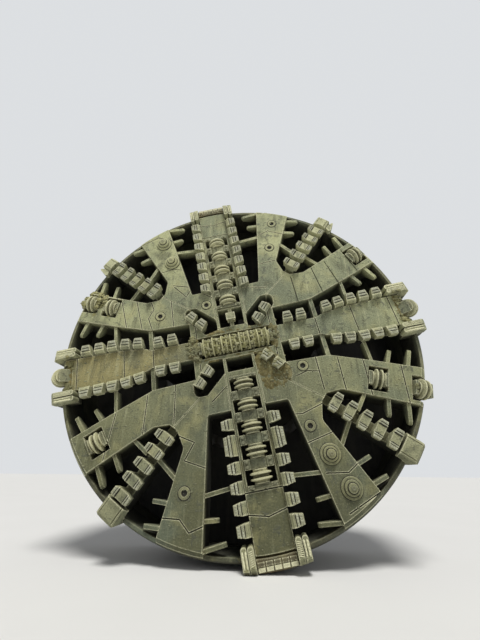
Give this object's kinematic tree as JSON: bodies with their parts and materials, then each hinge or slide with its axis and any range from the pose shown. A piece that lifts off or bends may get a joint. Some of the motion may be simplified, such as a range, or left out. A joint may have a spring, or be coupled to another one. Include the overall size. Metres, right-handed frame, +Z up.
{
  "type": "tunnel boring machine cutterhead with its bearing housing and bulkhead",
  "caption": "Mixed-ground tunnel boring machine cutterhead: spokes with twin disc cutters and scrapers, slotted plates and a rim, turning on its bearing housing.",
  "frame": {"origin": "centre of the bolted back face of the bearing housing, on the head's axis", "axes": "-Y towards the face being cut, +Z up, +X to the right as the face is seen from the front"},
  "size_m": [8.7484, 2.519, 8.7454],
  "materials": {
    "muddy_plate": "bare worn steel under dried grey-green mud",
    "tool_steel": "worn hardened steel with pale dried mud",
    "disc_steel": "worn tool steel, polished at the cutting edge",
    "clay_caked_steel": "steel packed with yellow-brown clay",
    "worn_shoe": "hardfaced wear shoe, rust brown",
    "inner_steel": "wet dark mud over painted steel",
    "chamber_steel": "dark wet chamber wall",
    "machined_steel": "machined flange, oiled"
  },
  "bodies": {
    "bulkhead_frame": {"bearing_housing": "machined_steel", "bulkhead": "chamber_steel", "bulkhead_ribs": "chamber_steel", "shield_upper": "chamber_steel", "shield_lower": "chamber_steel"},
    "cutterhead": {"centre_plate": "muddy_plate", "upper_spoke": "muddy_plate", "lower_spoke": "muddy_plate", "left_spoke": "muddy_plate", "right_spoke": "muddy_plate", "steep_plate_upper_right": "muddy_plate", "steep_plate_upper_left": "muddy_plate", "steep_plate_lower_left": "muddy_plate", "steep_plate_lower_right": "muddy_plate", "flat_plate_upper_right": "muddy_plate", "flat_plate_upper_left": "muddy_plate", "flat_plate_lower_left": "muddy_plate", "flat_plate_lower_right": "muddy_plate", "rim_upper": "muddy_plate", "rim_lower": "muddy_plate", "row_beams": "muddy_plate", "grizzly_bars": "muddy_plate", "wear_domes": "muddy_plate", "port_rings": "muddy_plate", "spoke_saddles": "muddy_plate", "branch_saddles": "muddy_plate", "centre_saddles": "muddy_plate", "upper_scrapers": "tool_steel", "lower_scrapers": "tool_steel", "left_scrapers": "tool_steel", "right_scrapers": "tool_steel", "row_scrapers": "tool_steel", "inner_scrapers": "tool_steel", "gauge_scrapers": "tool_steel", "gauge_blocks": "tool_steel", "gauge_shoes": "worn_shoe", "drive_legs": "inner_steel", "drive_flange": "inner_steel", "bearing_journal": "machined_steel", "rotary_pipe": "inner_steel"},
    "disc_upper_1": {"disc_upper_1": "disc_steel"},
    "disc_upper_2": {"disc_upper_2": "disc_steel"},
    "disc_upper_3": {"disc_upper_3": "disc_steel"},
    "disc_upper_4": {"disc_upper_4": "disc_steel"},
    "disc_upper_5": {"disc_upper_5": "disc_steel"},
    "disc_lower_1": {"disc_lower_1": "disc_steel"},
    "disc_lower_2": {"disc_lower_2": "disc_steel"},
    "disc_lower_3": {"disc_lower_3": "disc_steel"},
    "disc_lower_4": {"disc_lower_4": "disc_steel"},
    "disc_lower_5": {"disc_lower_5": "disc_steel"},
    "disc_upper_left_outer": {"disc_upper_left_outer": "disc_steel"},
    "disc_upper_left_inner": {"disc_upper_left_inner": "disc_steel"},
    "disc_upper_right": {"disc_upper_right": "disc_steel"},
    "disc_lower_left": {"disc_lower_left": "disc_steel"},
    "disc_lower_right_inner": {"disc_lower_right_inner": "disc_steel"},
    "disc_lower_right_outer": {"disc_lower_right_outer": "disc_steel"},
    "disc_gauge_left": {"disc_gauge_left": "disc_steel"},
    "disc_gauge_right": {"disc_gauge_right": "disc_steel"},
    "centre_roller": {"centre_roller": "clay_caked_steel"}
  },
  "joints": [
    {"name": "head_turn", "type": "hinge", "parent": "bulkhead_frame", "child": "cutterhead", "pos_m": [0, -0.25, 0], "axis": [0, 1, 0], "continuous": true},
    {"name": "turn_upper_1", "type": "hinge", "parent": "cutterhead", "child": "disc_upper_1", "pos_m": [-0.21779, -2.284, 1.13632], "axis": [-0.1882, 0, 0.9821], "continuous": true},
    {"name": "turn_upper_2", "type": "hinge", "parent": "cutterhead", "child": "disc_upper_2", "pos_m": [-0.30513, -2.284, 1.59202], "axis": [-0.1882, 0, 0.9821], "continuous": true},
    {"name": "turn_upper_3", "type": "hinge", "parent": "cutterhead", "child": "disc_upper_3", "pos_m": [-0.39248, -2.284, 2.04773], "axis": [-0.1882, 0, 0.9821], "continuous": true},
    {"name": "turn_upper_4", "type": "hinge", "parent": "cutterhead", "child": "disc_upper_4", "pos_m": [-0.47982, -2.284, 2.50343], "axis": [-0.1882, 0, 0.9821], "continuous": true},
    {"name": "turn_upper_5", "type": "hinge", "parent": "cutterhead", "child": "disc_upper_5", "pos_m": [-0.56716, -2.284, 2.95914], "axis": [-0.1882, 0, 0.9821], "continuous": true},
    {"name": "turn_lower_1", "type": "hinge", "parent": "cutterhead", "child": "disc_lower_1", "pos_m": [0.192, -2.284, -1.00177], "axis": [0.1882, 0, -0.9821], "continuous": true},
    {"name": "turn_lower_2", "type": "hinge", "parent": "cutterhead", "child": "disc_lower_2", "pos_m": [0.27935, -2.284, -1.45747], "axis": [0.1882, 0, -0.9821], "continuous": true},
    {"name": "turn_lower_3", "type": "hinge", "parent": "cutterhead", "child": "disc_lower_3", "pos_m": [0.36669, -2.284, -1.91318], "axis": [0.1882, 0, -0.9821], "continuous": true},
    {"name": "turn_lower_4", "type": "hinge", "parent": "cutterhead", "child": "disc_lower_4", "pos_m": [0.45403, -2.284, -2.36888], "axis": [0.1882, 0, -0.9821], "continuous": true},
    {"name": "turn_lower_5", "type": "hinge", "parent": "cutterhead", "child": "disc_lower_5", "pos_m": [0.54137, -2.284, -2.82459], "axis": [0.1882, 0, -0.9821], "continuous": true},
    {"name": "turn_upper_left_outer", "type": "hinge", "parent": "cutterhead", "child": "disc_upper_left_outer", "pos_m": [-3.77962, -2.284, 1.17962], "axis": [-0.9811, 0, 0.1934], "continuous": true},
    {"name": "turn_upper_left_inner", "type": "hinge", "parent": "cutterhead", "child": "disc_upper_left_inner", "pos_m": [-3.24526, -2.284, 1.04785], "axis": [-0.9811, 0, 0.1934], "continuous": true},
    {"name": "turn_upper_right", "type": "hinge", "parent": "cutterhead", "child": "disc_upper_right", "pos_m": [3.10576, -2.284, 2.38934], "axis": [0.8401, 0, 0.5424], "continuous": true},
    {"name": "turn_lower_left", "type": "hinge", "parent": "cutterhead", "child": "disc_lower_left", "pos_m": [-2.9323, -2.284, -2.23187], "axis": [-0.8401, 0, -0.5424], "continuous": true},
    {"name": "turn_lower_right_inner", "type": "hinge", "parent": "cutterhead", "child": "disc_lower_right_inner", "pos_m": [3.11087, -2.284, -0.93106], "axis": [0.9811, 0, -0.1934], "continuous": true},
    {"name": "turn_lower_right_outer", "type": "hinge", "parent": "cutterhead", "child": "disc_lower_right_outer", "pos_m": [3.97981, -2.264, -1.16161], "axis": [0.9331, 0.309, -0.1839], "continuous": true},
    {"name": "turn_gauge_left", "type": "hinge", "parent": "cutterhead", "child": "disc_gauge_left", "pos_m": [-4.12786, -2.261, -0.79117], "axis": [-0.6313, 0.766, -0.121], "continuous": true},
    {"name": "turn_gauge_right", "type": "hinge", "parent": "cutterhead", "child": "disc_gauge_right", "pos_m": [4.12786, -2.261, 0.79117], "axis": [0.6313, 0.766, 0.121], "continuous": true},
    {"name": "turn_centre_roller", "type": "hinge", "parent": "cutterhead", "child": "centre_roller", "pos_m": [0, -2.284, 0], "axis": [0.9821, 0, 0.1882], "continuous": true}
  ]
}
